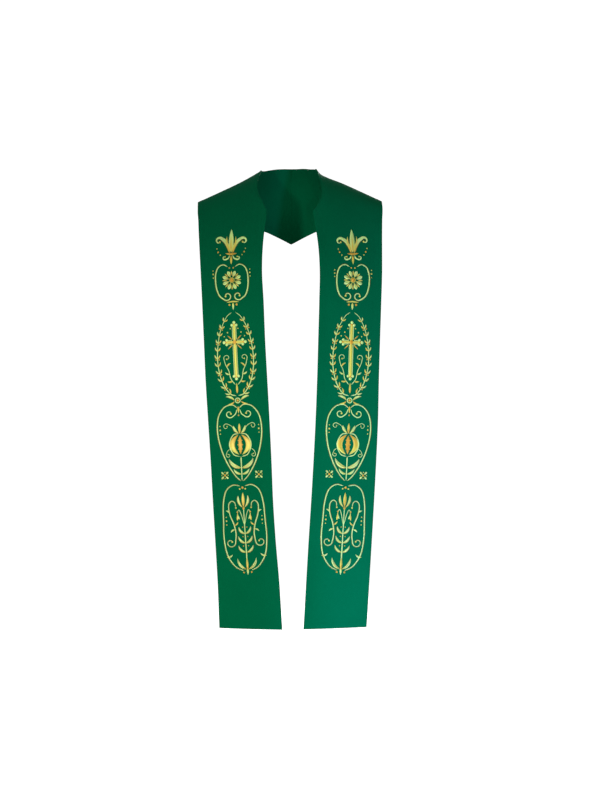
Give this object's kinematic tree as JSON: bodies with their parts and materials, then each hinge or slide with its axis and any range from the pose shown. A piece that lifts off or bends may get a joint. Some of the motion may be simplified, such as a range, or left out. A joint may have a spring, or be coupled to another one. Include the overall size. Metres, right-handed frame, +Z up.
{
  "type": "clerical stole",
  "caption": "Long cloth stole in its worn form: flat bands fall from the shoulders to a level hem and meet in a pointed seam behind the neck.",
  "frame": {"origin": "midway between the two points beside the neck where the bands cross the top of the wearer's shoulders", "axes": "+Z up, the fronts face -Y, +X towards the right of the front view, which is the wearer's left"},
  "size_m": [0.4418, 0.2412, 1.0995],
  "materials": {
    "green_cloth": "matt satin weave",
    "gold_thread": "satin stitch in rayon thread"
  },
  "bodies": {
    "root": {"stole_left_band": "green_cloth", "stole_right_band": "green_cloth"}
  },
  "joints": []
}
